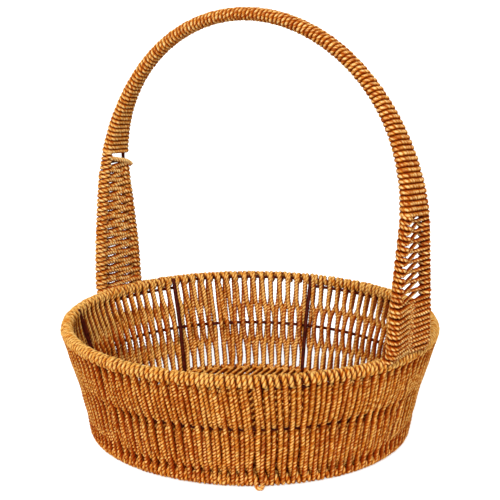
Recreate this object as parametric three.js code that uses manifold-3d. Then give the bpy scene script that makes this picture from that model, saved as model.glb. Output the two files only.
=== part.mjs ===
// Round storage basket: a dark wire frame, wound all over with twisted cord, under one tall fixed handle.
//
// Millimetres, +Z up. The origin is the middle of the resting face and the handle stands in the XZ plane.
// The cord is wound round the top and bottom rings in seven panels, one between each two ribs.

import * as THREE from 'three';
import { mergeVertices } from 'three/addons/utils/BufferGeometryUtils.js';
import Module from 'manifold-3d';

// Cord and wire
const CORD = 3.4;
const CORD_WOUND = 3.0;
const RING_WIRE = 2.5;
const RIB_WIRE = 3.2;
const BAR_WIRE = 2.5;
const STAY_WIRE = 2.5;
const HANDLE_WIRE = 2.8;
const SPREADER_WIRE = 2.5;
const CLEARANCE = 0.3;

// Wall: centres of the three ring wires, and how much of the flare lies below the middle one
const RIM_RADIUS = 136;
const RIM_HEIGHT = 81;
const MIDDLE_FLARE = 0.4;
const MIDDLE_HEIGHT = 44;
const BASE_RADIUS = 116.6;
const RIB_COUNT = 7;
const RIB_PHASE = THREE.MathUtils.degToRad(4.9);
const RIB_ABOVE_RIM = 2.6;
const STAY_DROP = 5;

// Floor
const BAR_COUNT = 3;
const BAR_SPACING = 45;

// Handle
const LEG_SPREAD = 19.3;
const LEG_RISE = 93;
const LEG_SPLAY = 2.4;
const ARCH_RISE = 135;
const TAPER_RISE = 200;
const FOOT_BEND = 3.5;
const TIE_RISE = 107;
const GRIP_GAP = 0.8;
const KNOT = 6;

// Facets
const PANEL_STEPS = 6;
const WIRE_SIDES = 8;
const RING_SIDES = 6;
const BORE_SIDES = 12;
const ARC_DIVISIONS = 3;
const ARCH_STEPS = 52;
const LACING_STEPS = 8;
const GRIP_STEPS = 8;
const GRIP_SIDES = 5;
const KNOT_SIDES = 8;
const LINE_DIVISIONS = 800;
const LINE_LEG_SHARE = 0.2;
const HALVINGS = 40;

// Places that follow from the sizes above
const SLOT = Math.max(RING_WIRE, STAY_WIRE, BAR_WIRE) / 2 + CLEARANCE;
const WALL = SLOT + CORD_WOUND;
const BASE_HEIGHT = WALL;
const MIDDLE_RADIUS = THREE.MathUtils.lerp(BASE_RADIUS, RIM_RADIUS, MIDDLE_FLARE);
const RIM = new THREE.Vector2(RIM_RADIUS, RIM_HEIGHT);
const MIDDLE = new THREE.Vector2(MIDDLE_RADIUS, MIDDLE_HEIGHT);
const BASE = new THREE.Vector2(BASE_RADIUS, BASE_HEIGHT);
const RIM_TOP = RIM_HEIGHT + WALL;
const RIB_INSET = SLOT + RIB_WIRE / 2;
const RIB_END = BASE_HEIGHT + SLOT + CLEARANCE;
const STAY_HEIGHT = RIM_HEIGHT - STAY_DROP;
const STAY_RADIUS = wallRadius(STAY_HEIGHT);
const LEG_BORE = HANDLE_WIRE / 2 + CLEARANCE;
const LEG_RADIUS = RIM_RADIUS + WALL + LEG_BORE;
const LEG_ANGLE = Math.asin(LEG_SPREAD / LEG_RADIUS);
const LEG_X = LEG_RADIUS * Math.cos(LEG_ANGLE);
const FOOT_TOP = STAY_HEIGHT + FOOT_BEND;
const ARCH_HALF = LEG_X + LEG_SPLAY;
const SPRING_HEIGHT = RIM_HEIGHT + LEG_RISE;
const WIRE_OFFSET = HANDLE_WIRE / 2 + CLEARANCE / 2;
const GRIP_PITCH = CORD + GRIP_GAP;
const GRID_COUNT = RIB_COUNT * PANEL_STEPS;
const GRID_ANGLE = (2 * Math.PI) / GRID_COUNT;
const PANEL_ANGLE = PANEL_STEPS * GRID_ANGLE;

const wasm = await Module();
wasm.setup();

// Radius of the wall's middle line at a height
function wallRadius(height) {
  const [low, high] = height > MIDDLE.y ? [MIDDLE, RIM] : [BASE, MIDDLE];
  return THREE.MathUtils.mapLinear(height, low.y, high.y, low.x, high.x);
}

function ribAngle(index) {
  return RIB_PHASE + index * PANEL_ANGLE;
}

function polar(radius, angle, height) {
  return new THREE.Vector3(radius * Math.cos(angle), radius * Math.sin(angle), height);
}

// Boolean cuts and joins on closed geometry
function toSolid(geometry) {
  const bare = geometry.clone();
  bare.deleteAttribute('normal');
  bare.deleteAttribute('uv');
  const merged = mergeVertices(bare);
  return new wasm.Manifold(new wasm.Mesh({
    numProp: 3,
    vertProperties: new Float32Array(merged.attributes.position.array),
    triVerts: new Uint32Array(merged.index.array),
  }));
}

function toGeometry(solid) {
  const mesh = solid.getMesh();
  const geometry = new THREE.BufferGeometry();
  geometry.setAttribute('position', new THREE.BufferAttribute(mesh.vertProperties, mesh.numProp));
  geometry.setIndex(new THREE.BufferAttribute(mesh.triVerts, 1));
  return geometry;
}

function cutAll(solid, geometries) {
  return geometries.reduce((rest, geometry) => rest.subtract(toSolid(geometry)), solid);
}

// A path of chosen points, stepped exactly on those points
class Route extends THREE.Curve {
  constructor(points) {
    super();
    this.points = points;
  }

  getPoint(t, target = new THREE.Vector3()) {
    const place = t * (this.points.length - 1);
    const index = Math.min(Math.floor(place), this.points.length - 2);
    return target.lerpVectors(this.points[index], this.points[index + 1], place - index);
  }

  getUtoTmapping(u) {
    return u;
  }
}

function disc(radius, sides) {
  const shape = new THREE.Shape();
  for (let side = 0; side < sides; side += 1) {
    const angle = (2 * Math.PI * side) / sides;
    const move = side === 0 ? 'moveTo' : 'lineTo';
    shape[move](radius * Math.cos(angle), radius * Math.sin(angle));
  }
  return shape;
}

// A round wire along a list of points
function wireAlong(points, diameter, sides) {
  return new THREE.ExtrudeGeometry(disc(diameter / 2, sides), {
    steps: points.length - 1,
    extrudePath: new Route(points),
    bevelEnabled: false,
  });
}

// A profile of (radius, height) points turned round the Z axis, in steps that meet every rib
function revolve(profile) {
  const geometry = new THREE.LatheGeometry(profile, GRID_COUNT, RIB_PHASE + Math.PI / 2);
  return geometry.rotateX(Math.PI / 2);
}

function closed(points) {
  return [...points, points[0]];
}

// Frame rings
function ring(centre) {
  const section = disc(RING_WIRE / 2, RING_SIDES).getPoints().slice(0, RING_SIDES);
  return revolve(closed(section.map((point) => point.clone().add(centre))));
}

// Outward unit normal of a wall stretch that runs upwards
function wallNormal(low, high) {
  const along = high.clone().sub(low).normalize();
  return new THREE.Vector2(along.y, -along.x);
}

// The wall's middle line moved sideways, and rounded at both rings where it goes all the way round
function wallLine(offset) {
  const lower = wallNormal(BASE, MIDDLE);
  const upper = wallNormal(MIDDLE, RIM);
  const mitre = lower.clone().add(upper).normalize();
  return {
    base: BASE.clone().addScaledVector(lower, offset),
    middle: MIDDLE.clone().addScaledVector(mitre, offset / mitre.dot(lower)),
    rim: RIM.clone().addScaledVector(upper, offset),
    lowerAngle: lower.angle(),
    upperAngle: upper.angle(),
  };
}

function wallOutline(offset) {
  const outside = wallLine(offset);
  const inside = wallLine(-offset);
  const path = new THREE.Path();
  path.moveTo(outside.base.x, outside.base.y);
  path.lineTo(outside.middle.x, outside.middle.y);
  path.lineTo(outside.rim.x, outside.rim.y);
  path.absarc(RIM.x, RIM.y, offset, outside.upperAngle, outside.upperAngle + Math.PI);
  path.lineTo(inside.middle.x, inside.middle.y);
  path.lineTo(inside.base.x, inside.base.y);
  path.absarc(BASE.x, BASE.y, offset, outside.lowerAngle + Math.PI, outside.lowerAngle + 2 * Math.PI);
  const points = path.getPoints(ARC_DIVISIONS);
  return closed(points.filter((point, index) => point.distanceTo(points.at(index - 1)) > CLEARANCE / 10));
}

// Ribs: straight wires on the inner side of the rings, bent at the middle ring
function rib(index) {
  const line = wallLine(-RIB_INSET);
  const along = line.rim.clone().sub(line.middle).normalize();
  const top = line.rim.clone().addScaledVector(along, RIB_ABOVE_RIM);
  const share = (RIB_END - line.base.y) / (line.middle.y - line.base.y);
  const foot = line.base.clone().lerp(line.middle, share);
  const points = [foot, line.middle, top].map((point) => polar(point.x, ribAngle(index), point.y));
  return wireAlong(points, RIB_WIRE, WIRE_SIDES);
}

// The room that a rib takes out of the wall's inner layer
function ribRoom(index) {
  const reach = WALL + CORD;
  const low = RIB_END - 2 * CLEARANCE;
  const high = RIM_TOP + CORD;
  const width = RIB_WIRE + 2 * CLEARANCE;
  const shape = new THREE.Shape();
  shape.moveTo(wallRadius(low), low);
  shape.lineTo(MIDDLE.x, MIDDLE.y);
  shape.lineTo(RIM.x, RIM.y);
  shape.lineTo(RIM.x, high);
  shape.lineTo(wallRadius(low) - reach, high);
  shape.lineTo(wallRadius(low) - reach, low);
  const geometry = new THREE.ExtrudeGeometry(shape, { depth: width, bevelEnabled: false });
  return geometry.translate(0, 0, -width / 2).rotateX(Math.PI / 2).rotateZ(ribAngle(index));
}

// Stays: arcs under the rim that carry the handle's feet, from the rib before to the second rib after
function stay(facing) {
  const firstRib = Math.floor((facing - LEG_ANGLE - RIB_PHASE) / PANEL_ANGLE);
  const lastRib = Math.ceil((facing + LEG_ANGLE - RIB_PHASE) / PANEL_ANGLE) + 1;
  const points = [];
  for (let step = firstRib * PANEL_STEPS; step <= lastRib * PANEL_STEPS; step += 1) {
    points.push(polar(STAY_RADIUS, RIB_PHASE + step * GRID_ANGLE, STAY_HEIGHT));
  }
  return wireAlong(points, STAY_WIRE, RING_SIDES);
}

// Floor bars across the bottom ring, along X
function barPlace(index) {
  return (index - (BAR_COUNT - 1) / 2) * BAR_SPACING;
}

function bar(index) {
  const y = barPlace(index);
  const inside = BASE_RADIUS * Math.cos(GRID_ANGLE / 2) - RING_WIRE / 2 - CLEARANCE;
  const half = Math.sqrt(inside ** 2 - (Math.abs(y) + BAR_WIRE / 2) ** 2);
  const ends = [new THREE.Vector3(-half, y, BASE_HEIGHT), new THREE.Vector3(half, y, BASE_HEIGHT)];
  return wireAlong(ends, BAR_WIRE, WIRE_SIDES);
}

function barRoom(index) {
  const y = barPlace(index);
  const half = Math.sqrt(BASE_RADIUS ** 2 - y ** 2);
  const ends = [new THREE.Vector3(-half, y, BASE_HEIGHT), new THREE.Vector3(half, y, BASE_HEIGHT)];
  return wireAlong(ends, BAR_WIRE + 2 * CLEARANCE, BORE_SIDES);
}

// Floor mats: one layer of cord over the bars and one under them
function floorMat(low) {
  const radius = BASE_RADIUS - WALL - CLEARANCE;
  const high = low + CORD_WOUND;
  const corners = [[0, low], [radius, low], [radius, high], [0, high]];
  return revolve(corners.map(([r, z]) => new THREE.Vector2(r, z)));
}

// Middle line of the handle: two straight legs under half an ellipse, from +X over to -X
class HandleLine extends THREE.Curve {
  constructor() {
    super();
    this.arcLengthDivisions = LINE_DIVISIONS;
  }

  getPoint(t, target = new THREE.Vector3()) {
    const fromEnd = Math.min(t, 1 - t);
    const side = t < 0.5 ? 1 : -1;
    if (fromEnd < LINE_LEG_SHARE) {
      const share = fromEnd / LINE_LEG_SHARE;
      const x = THREE.MathUtils.lerp(LEG_X, ARCH_HALF, share);
      return target.set(side * x, 0, THREE.MathUtils.lerp(FOOT_TOP, SPRING_HEIGHT, share));
    }
    const angle = (Math.PI * (t - LINE_LEG_SHARE)) / (1 - 2 * LINE_LEG_SHARE);
    return target.set(ARCH_HALF * Math.cos(angle), 0, SPRING_HEIGHT + ARCH_RISE * Math.sin(angle));
  }

  // Distance along the line where its first half reaches a height
  lengthTo(height) {
    let low = 0;
    let high = 0.5;
    for (let pass = 0; pass < HALVINGS; pass += 1) {
      const middle = (low + high) / 2;
      if (this.getPointAt(middle).z < height) low = middle;
      else high = middle;
    }
    return low * this.getLength();
  }

  // Place, outward normal and half spread of the two wires at a distance along the line
  station(distance) {
    const share = THREE.MathUtils.clamp(distance / this.getLength(), 0, 1);
    const centre = this.getPointAt(share);
    const along = this.getTangentAt(share);
    const out = new THREE.Vector3(along.z, 0, -along.x);
    return { centre, along, out, spread: legSpread(centre.z) };
  }
}

// Half the distance between the two handle wires, wide at the rim and closed at the grip
function legSpread(height) {
  const share = THREE.MathUtils.clamp((height - RIM_HEIGHT) / TAPER_RISE, 0, 1);
  return WIRE_OFFSET + (LEG_SPREAD - WIRE_OFFSET) * Math.cos((Math.PI / 2) * share) ** 2;
}

const handleLine = new HandleLine();
const handleLength = handleLine.getLength();
const tieLength = handleLine.lengthTo(RIM_HEIGHT + TIE_RISE);

// A handle wire's foot, from the stay outwards and up to the leg
function footPoints(side, y) {
  const near = Math.abs(y) - HANDLE_WIRE / 2;
  const reach = STAY_RADIUS + STAY_WIRE / 2 + CLEARANCE;
  const points = [new THREE.Vector3(side * Math.sqrt(reach ** 2 - near ** 2), y, STAY_HEIGHT)];
  for (let step = 0; step < ARC_DIVISIONS; step += 1) {
    const angle = (Math.PI / 2) * (step / ARC_DIVISIONS);
    const x = LEG_X - FOOT_BEND + FOOT_BEND * Math.sin(angle);
    points.push(new THREE.Vector3(side * x, y, FOOT_TOP - FOOT_BEND * Math.cos(angle)));
  }
  return points;
}

function handleWire(side) {
  const points = footPoints(1, side * LEG_SPREAD);
  for (let step = 0; step <= ARCH_STEPS; step += 1) {
    const { centre, spread } = handleLine.station((handleLength * step) / ARCH_STEPS);
    points.push(centre.setY(side * spread));
  }
  points.push(...footPoints(-1, side * LEG_SPREAD).reverse());
  return wireAlong(points, HANDLE_WIRE, RING_SIDES);
}

// The room that a foot takes where it passes through the wall's outer layer
function footRoom(side, y) {
  const points = footPoints(side, y);
  points.unshift(points[0].clone().setX(points[0].x - side * (SLOT + CLEARANCE)));
  points.push(new THREE.Vector3(side * LEG_X, y, FOOT_TOP));
  points.push(new THREE.Vector3(side * LEG_X, y, RIM_TOP));
  return wireAlong(points, HANDLE_WIRE + 2 * CLEARANCE, BORE_SIDES);
}

// Wall panels: a slotted wall all the way round, opened for what passes through it and parted at the ribs
function wallPanels() {
  const indices = [...Array(RIB_COUNT).keys()];
  const slotted = toSolid(revolve(wallOutline(WALL))).subtract(toSolid(revolve(wallOutline(SLOT))));
  const reach = 2 * RIM_RADIUS;
  const height = RIM_TOP + CORD;
  const gaps = indices.map((index) => {
    const gap = new THREE.BoxGeometry(reach, 2 * CLEARANCE, 2 * height);
    return gap.translate(reach / 2, 0, 0).rotateZ(ribAngle(index));
  });
  const feet = [1, -1].flatMap((side) => [1, -1].map((y) => footRoom(side, y * LEG_SPREAD)));
  const bars = [...Array(BAR_COUNT).keys()].map(barRoom);
  const wall = cutAll(slotted, [...gaps, ...indices.map(ribRoom), ...feet, ...bars]);
  return indices.map((index) => {
    const sector = new THREE.Shape();
    sector.moveTo(0, 0);
    for (let step = 0; step <= 2; step += 1) {
      const angle = THREE.MathUtils.lerp(ribAngle(index), ribAngle(index + 1), step / 2);
      sector.lineTo(reach * Math.cos(angle), reach * Math.sin(angle));
    }
    const wedge = new THREE.ExtrudeGeometry(sector, { depth: 2 * height, bevelEnabled: false });
    return toGeometry(wall.intersect(toSolid(wedge.translate(0, 0, -height / 2))));
  });
}

// A skin over rings of points, closed by flat ends; each ring is an outline and its holes
function loft(stations, flatten) {
  const positions = [];
  const faces = [];
  const counts = stations[0].map((loop) => loop.length);
  const total = counts.reduce((sum, count) => sum + count, 0);
  stations.flat(2).forEach((point) => positions.push(point.x, point.y, point.z));
  for (let row = 0; row + 1 < stations.length; row += 1) {
    let first = row * total;
    counts.forEach((count) => {
      for (let index = 0; index < count; index += 1) {
        const a = first + index;
        const b = first + ((index + 1) % count);
        faces.push(a, b, b + total, a, b + total, a + total);
      }
      first += count;
    });
  }
  const lastRow = (stations.length - 1) * total;
  const [outline, ...holes] = stations[0].map((loop) => loop.map(flatten));
  THREE.ShapeUtils.triangulateShape(outline, holes).forEach(([a, b, c]) => {
    faces.push(a, c, b);
    faces.push(lastRow + a, lastRow + b, lastRow + c);
  });
  const geometry = new THREE.BufferGeometry();
  geometry.setAttribute('position', new THREE.Float32BufferAttribute(positions, 3));
  geometry.setIndex(faces);
  return geometry;
}

// Leg lacing: cord wound in figures of eight round both wires, as one dumb-bell section with two bores
function lacingSection(station) {
  const { centre, out, spread } = station;
  const round = LEG_BORE + CORD_WOUND;
  const open = Math.asin(CORD_WOUND / round);
  const place = (y, n) => centre.clone().addScaledVector(out, n).setY(y);
  const outline = [];
  [1, -1].forEach((side) => {
    const steps = 2 * ARC_DIVISIONS;
    for (let step = 0; step <= steps; step += 1) {
      const angle = THREE.MathUtils.lerp(Math.PI - open, open - Math.PI, step / steps);
      outline.push(place(side * (spread + round * Math.cos(angle)), side * round * Math.sin(angle)));
    }
  });
  const bores = [1, -1].map((side) => {
    const bore = [];
    for (let step = 0; step < WIRE_SIDES; step += 1) {
      const angle = (2 * Math.PI * step) / WIRE_SIDES;
      bore.push(place(side * spread + LEG_BORE * Math.cos(angle), LEG_BORE * Math.sin(angle)));
    }
    return bore;
  });
  return [outline, ...bores];
}

function legLacing(side) {
  const start = handleLine.lengthTo(RIM_TOP + CLEARANCE);
  const end = tieLength - SPREADER_WIRE / 2 - CLEARANCE;
  const stations = [];
  for (let step = 0; step <= LACING_STEPS; step += 1) {
    const fromFoot = THREE.MathUtils.lerp(start, end, step / LACING_STEPS);
    stations.push(handleLine.station(side > 0 ? fromFoot : handleLength - fromFoot));
  }
  if (side < 0) stations.reverse();
  const first = stations[0];
  const flatten = (point) => {
    const away = point.clone().sub(first.centre);
    return new THREE.Vector2(away.dot(first.out), away.y);
  };
  return loft(stations.map(lacingSection), flatten);
}

// Spreaders: short wires that hold the two handle wires apart where the lacing ends
function spreader(side) {
  const { centre, spread } = handleLine.station(side > 0 ? tieLength : handleLength - tieLength);
  const half = spread - HANDLE_WIRE / 2 - CLEARANCE;
  const ends = [-1, 1].map((end) => centre.clone().setY(end * half));
  return wireAlong(ends, SPREADER_WIRE, WIRE_SIDES);
}

// Grip winding: one unbroken cord round both wires, from spreader to spreader
function gripRings() {
  const start = tieLength + SPREADER_WIRE / 2 + CLEARANCE + CORD;
  const turns = Math.floor((handleLength - 2 * start) / GRIP_PITCH);
  const halfStep = Math.PI / GRIP_STEPS;
  const reach = (LEG_BORE + CORD_WOUND / 2) / Math.cos(halfStep);
  const corners = GRIP_STEPS / 2;
  const rings = [];
  const addRing = (index, slide) => {
    const corner = index % GRIP_STEPS;
    const side = corner < corners ? 1 : -1;
    const turned = halfStep * (2 * (corner % corners) + 1) - Math.PI / 2;
    const { centre, along, out, spread } = handleLine.station(start + (GRIP_PITCH * index) / GRIP_STEPS);
    const across = side * (spread + reach * Math.cos(turned)) + slide;
    const outward = side * reach * Math.sin(turned);
    const middle = centre.clone().addScaledVector(out, outward).setY(across);
    const away = out.clone().multiplyScalar(side * Math.sin(turned));
    away.y = side * Math.cos(turned);
    const points = [];
    for (let step = 0; step < GRIP_SIDES; step += 1) {
      const angle = (2 * Math.PI * step) / GRIP_SIDES;
      const thick = (CORD_WOUND / 2) * Math.cos(angle);
      const wide = (CORD / 2) * Math.sin(angle);
      points.push(middle.clone().addScaledVector(away, thick).addScaledVector(along, wide));
    }
    rings.push(points);
  };
  addRing(0, -CORD);
  for (let index = 0; index < turns * GRIP_STEPS; index += 1) addRing(index, 0);
  addRing(turns * GRIP_STEPS - 1, CORD);
  return rings;
}

// Least distance between the points of one turn and those about a turn further on
function leastGap(rings) {
  let least = Infinity;
  rings.forEach((points, index) => {
    const next = rings.slice(index + GRIP_STEPS / 2, index + 2 * GRIP_STEPS).flat();
    points.forEach((point) => next.forEach((other) => {
      least = Math.min(least, point.distanceTo(other));
    }));
  });
  return least;
}

function gripWinding() {
  const rings = gripRings();
  console.log(`grip winding: least gap between turns ${leastGap(rings).toFixed(2)} mm`);
  const section = disc(1, GRIP_SIDES).getPoints();
  const flatten = (point) => section[rings[0].indexOf(point)];
  return loft(rings.map((points) => [points]), flatten);
}

// Knots where a cord ends: on the wall's lower edge and beside the left spreader
function knot(centre) {
  const geometry = new THREE.SphereGeometry(KNOT / 2, KNOT_SIDES, KNOT_SIDES);
  return geometry.translate(centre.x, centre.y, centre.z);
}

function wallKnotPlace() {
  return polar(BASE_RADIUS + WALL + CLEARANCE + KNOT / 2, ribAngle(RIB_COUNT - 1), BASE_HEIGHT);
}

function handleKnotPlace() {
  const { centre, spread } = handleLine.station(handleLength - tieLength);
  return centre.setY(spread + LEG_BORE + CORD_WOUND + CLEARANCE + KNOT / 2);
}

// Materials
function cordMaterial() {
  return new THREE.MeshStandardMaterial({ color: 0xc27a36, roughness: 0.72, metalness: 0 });
}

function wireMaterial() {
  return new THREE.MeshStandardMaterial({ color: 0x3a241a, roughness: 0.45, metalness: 0.5 });
}

function piece(group, name, geometry, material) {
  const mesh = new THREE.Mesh(geometry, material);
  mesh.name = name;
  group.add(mesh);
}

function frameGroup() {
  const group = new THREE.Group();
  piece(group, 'top_ring', ring(RIM), wireMaterial());
  piece(group, 'middle_ring', ring(MIDDLE), wireMaterial());
  piece(group, 'bottom_ring', ring(BASE), wireMaterial());
  for (let index = 0; index < RIB_COUNT; index += 1) {
    piece(group, `rib_${index + 1}`, rib(index), wireMaterial());
  }
  for (let index = 0; index < BAR_COUNT; index += 1) {
    piece(group, `floor_bar_${index + 1}`, bar(index), wireMaterial());
  }
  piece(group, 'right_stay', stay(0), wireMaterial());
  piece(group, 'left_stay', stay(Math.PI), wireMaterial());
  return group;
}

function weaveGroup() {
  const group = new THREE.Group();
  wallPanels().forEach((geometry, index) => {
    piece(group, `wall_panel_${index + 1}`, geometry, cordMaterial());
  });
  piece(group, 'floor_lower_mat', floorMat(0), cordMaterial());
  piece(group, 'floor_upper_mat', floorMat(BASE_HEIGHT + BAR_WIRE / 2 + CLEARANCE), cordMaterial());
  piece(group, 'wall_knot', knot(wallKnotPlace()), cordMaterial());
  return group;
}

function handleGroup() {
  const group = new THREE.Group();
  piece(group, 'front_handle_wire', handleWire(-1), wireMaterial());
  piece(group, 'rear_handle_wire', handleWire(1), wireMaterial());
  piece(group, 'right_spreader', spreader(1), wireMaterial());
  piece(group, 'left_spreader', spreader(-1), wireMaterial());
  piece(group, 'right_leg_lacing', legLacing(1), cordMaterial());
  piece(group, 'left_leg_lacing', legLacing(-1), cordMaterial());
  piece(group, 'grip_winding', gripWinding(), cordMaterial());
  piece(group, 'handle_knot', knot(handleKnotPlace()), cordMaterial());
  return group;
}

const basket = new THREE.Group();
basket.add(frameGroup(), weaveGroup(), handleGroup());

export default basket;
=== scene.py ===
# %% [markdown]
# A round storage basket of twisted cord, wound over a dark wire frame, with one tall fixed handle. The
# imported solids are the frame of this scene: they say where every ring, rib and panel is. Here each plain
# panel of the solid model is wound again with real cord, turn by turn, and lit as in a studio.

# %% Load the solid model
import math

import bmesh
import bpy
import numpy as np
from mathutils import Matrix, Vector


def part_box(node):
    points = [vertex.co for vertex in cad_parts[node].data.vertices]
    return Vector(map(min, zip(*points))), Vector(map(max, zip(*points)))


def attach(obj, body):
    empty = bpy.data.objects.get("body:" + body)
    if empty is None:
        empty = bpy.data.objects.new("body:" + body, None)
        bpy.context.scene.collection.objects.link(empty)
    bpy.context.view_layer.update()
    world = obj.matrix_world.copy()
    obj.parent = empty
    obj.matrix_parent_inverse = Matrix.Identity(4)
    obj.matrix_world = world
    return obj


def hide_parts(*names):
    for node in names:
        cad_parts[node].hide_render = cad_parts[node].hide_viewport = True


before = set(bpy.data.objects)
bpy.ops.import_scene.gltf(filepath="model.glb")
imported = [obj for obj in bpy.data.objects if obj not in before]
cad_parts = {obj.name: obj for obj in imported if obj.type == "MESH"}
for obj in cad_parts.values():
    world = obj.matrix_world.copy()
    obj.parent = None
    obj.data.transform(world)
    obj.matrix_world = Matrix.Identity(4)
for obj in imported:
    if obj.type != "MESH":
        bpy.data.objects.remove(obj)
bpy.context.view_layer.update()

print("solid nodes:", len(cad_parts))

# %% [markdown]
# The camera comes first. Its place was worked out from the three ring wires, which are circles on the real
# basket and show as ellipses in the picture. It stands to the front right of the handle's plane, a little
# above the handle's top, and looks 13 degrees down.

# %% Camera
EYE = Vector((0.5955, -0.6990, 0.3550))
LOOK_DOWN = math.radians(13.37)

camera_data = bpy.data.cameras.new("studio_camera")
camera_data.lens = 91.73
camera_data.sensor_width = 36.0
camera_data.clip_start = 0.05
camera = bpy.data.objects.new("studio_camera", camera_data)
camera.location = EYE
camera.rotation_euler = (math.pi / 2 - LOOK_DOWN, 0.0, math.atan2(EYE.x, -EYE.y))
bpy.context.scene.collection.objects.link(camera)
bpy.context.scene.camera = camera
print("camera stands", round(EYE.length, 3), "m from the basket's base")

# %% [markdown]
# The frame's sizes repeat the solid model's own, in millimetres, because a weaver thinks in millimetres.
# The wall follows three ring wires, given by radius and height from the bottom up. Wire sizes are radii,
# and CORD is the reach of a ply's crest. LAY is the length in which the plies go once round. Round the
# wall go 112 loops of cord, 16 in each of the seven bays between the ribs. A loop count is better than a
# cord spacing here: the loops must close on themselves all the way round. All chance comes from one
# seeded source, so that the basket comes out the same each time.

# %% Sizes of the frame and the cord
MM = 0.001
BOTTOM, MIDDLE, RIM = 0, 1, 2
RING_PLACES = np.array([[116.6, 4.55], [124.36, 44.0], [136.0, 81.0]])
RING_WIRE = 1.25
RIB_WIRE = 1.6
HANDLE_WIRE = 1.4
RIB_COUNT = 7
RIB_PHASE = math.radians(4.9)
BAY_LOOPS = 16
LOOPS = RIB_COUNT * BAY_LOOPS
LOOP_ANGLE = 2 * math.pi / LOOPS
CORD = 2.08
LAY = 8.0
luck = np.random.default_rng(7)
print("cord spacing at the rim:", round(RING_PLACES[RIM, 0] * LOOP_ANGLE, 2), "mm")

# %% [markdown]
# The cord is three plies of paper-like yarn twisted together. A texture of slanted stripes on a smooth
# tube would be light, but it looks flat where the cord is seen from the side. So the twist is modelled: a
# three-lobed outline runs along the cord's path and turns once in every eight millimetres. On the grip
# the cord is wound so tight that its grooves are pressed shallow, so it gets a flatter outline of its
# own. Each ply has four points, given by their angle, their reach and how deep they lie in the groove.

# %% Outline of a three-ply cord
PLIES = 3
# The third value of a point sets how much painted shade it gets in the groove between plies.
PLY_POINTS = [(-60.0, 0.66, 0.70), (-34.0, 0.92, 0.10), (0.0, 1.0, 0.0), (34.0, 0.92, 0.10)]
WIRE_SIDES = 12


def outline(name, points):
    curve = bpy.data.curves.new(name, "CURVE")
    curve.dimensions = "2D"
    spline = curve.splines.new("POLY")
    spline.points.add(len(points) - 1)
    for point, (x, y) in zip(spline.points, points):
        point.co = (x * MM, y * MM, 0.0, 1.0)
    spline.use_cyclic_u = True
    shape = bpy.data.objects.new(name, curve)
    bpy.context.scene.collection.objects.link(shape)
    return shape


ply_turns = [math.radians(360 / PLIES * ply + turn) for ply in range(PLIES) for turn, _, _ in PLY_POINTS]
ply_reach = [reach for _ in range(PLIES) for _, reach, _ in PLY_POINTS]
ply_groove_shade = np.array([painted_shade for _ in range(PLIES) for _, _, painted_shade in PLY_POINTS])


def ply_outline(name, power):
    points = []
    for turn, share in zip(ply_turns, ply_reach):
        reach = CORD * share ** power
        points.append((reach * math.cos(turn), reach * math.sin(turn)))
    return outline(name, points)


cord_outline = ply_outline("cord_outline", 1.0)
flat_outline = ply_outline("flat_outline", 0.5)
wire_turns = np.arange(WIRE_SIDES) * 2 * math.pi / WIRE_SIDES
wire_outline = outline("wire_outline", [(math.cos(turn), math.sin(turn)) for turn in wire_turns])
print("points round the cord:", len(ply_turns), "and round a wire:", len(wire_turns))

# %% [markdown]
# A path is a row of points in millimetres. Corners in it are eased by averaging each point with its
# neighbours, as a cord under tension eases itself. Before that, points are set at even steps along it, so
# that the twist is even as well. Values that belong to the first points are carried over to the new ones.

# %% Ease a path and space it evenly
def run_along(path):
    gaps = np.linalg.norm(np.diff(np.asarray(path, float), axis=0), axis=1)
    return np.concatenate([[0.0], np.cumsum(gaps)])


def spaced(path, step):
    path = np.asarray(path, float)
    run = run_along(path)
    marks = np.linspace(0.0, run[-1], max(4, int(round(run[-1] / step)) + 1))
    return np.stack([np.interp(marks, run, path[:, i]) for i in range(3)], axis=1)


def relaxed(values, rounds):
    for _ in range(rounds):
        values[1:-1] = 0.25 * values[:-2] + 0.5 * values[1:-1] + 0.25 * values[2:]
    return values


def eased(path, step, rounds):
    return relaxed(spaced(path, step), rounds)


def carried(points, values, count):
    run = run_along(points)
    return np.interp(np.linspace(0.0, run[-1], count), run, values)


def rising(values, start, width):
    return np.clip((values - start) / width, 0.0, 1.0)


print("a quarter metre of cord has", len(spaced([[0, 0, 0], [250, 0, 0]], 0.9)), "points")

# %% [markdown]
# A curve with an outline sweeps the wire or the cord, and is then made a mesh, because a mesh can carry
# values on its points. The sweep leaves the ends open, so they are closed afterwards.

# %% Sweep a wire or a cord along its paths
def sweep(name, paths, shape, widths, twists=None, ring=False):
    curve = bpy.data.curves.new(name, "CURVE")
    curve.dimensions = "3D"
    curve.bevel_mode = "OBJECT"
    curve.bevel_object = shape
    for number, path in enumerate(paths):
        spline = curve.splines.new("POLY")
        spline.points.add(len(path) - 1)
        flat = np.concatenate([np.asarray(path) * MM, np.ones((len(path), 1))], axis=1)
        spline.points.foreach_set("co", flat.ravel())
        spline.points.foreach_set("radius", widths[number])
        spline.use_cyclic_u = ring
        if twists is not None:
            spline.points.foreach_set("tilt", twists[number])
    bare = bpy.data.objects.new(name, curve)
    bpy.context.scene.collection.objects.link(bare)
    graph = bpy.context.evaluated_depsgraph_get()
    mesh = bpy.data.meshes.new_from_object(bare.evaluated_get(graph))
    bpy.data.objects.remove(bare)
    bpy.data.curves.remove(curve)
    mesh.name = name
    return mesh


def close_and_smooth(mesh):
    work = bmesh.new()
    work.from_mesh(mesh)
    open_edges = [edge for edge in work.edges if edge.is_boundary]
    bmesh.ops.holes_fill(work, edges=open_edges, sides=0)
    bmesh.ops.recalc_face_normals(work, faces=work.faces)
    for face in work.faces:
        face.smooth = True
    work.to_mesh(mesh)
    work.free()


print("tools made:", sweep.__name__, close_and_smooth.__name__)
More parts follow.
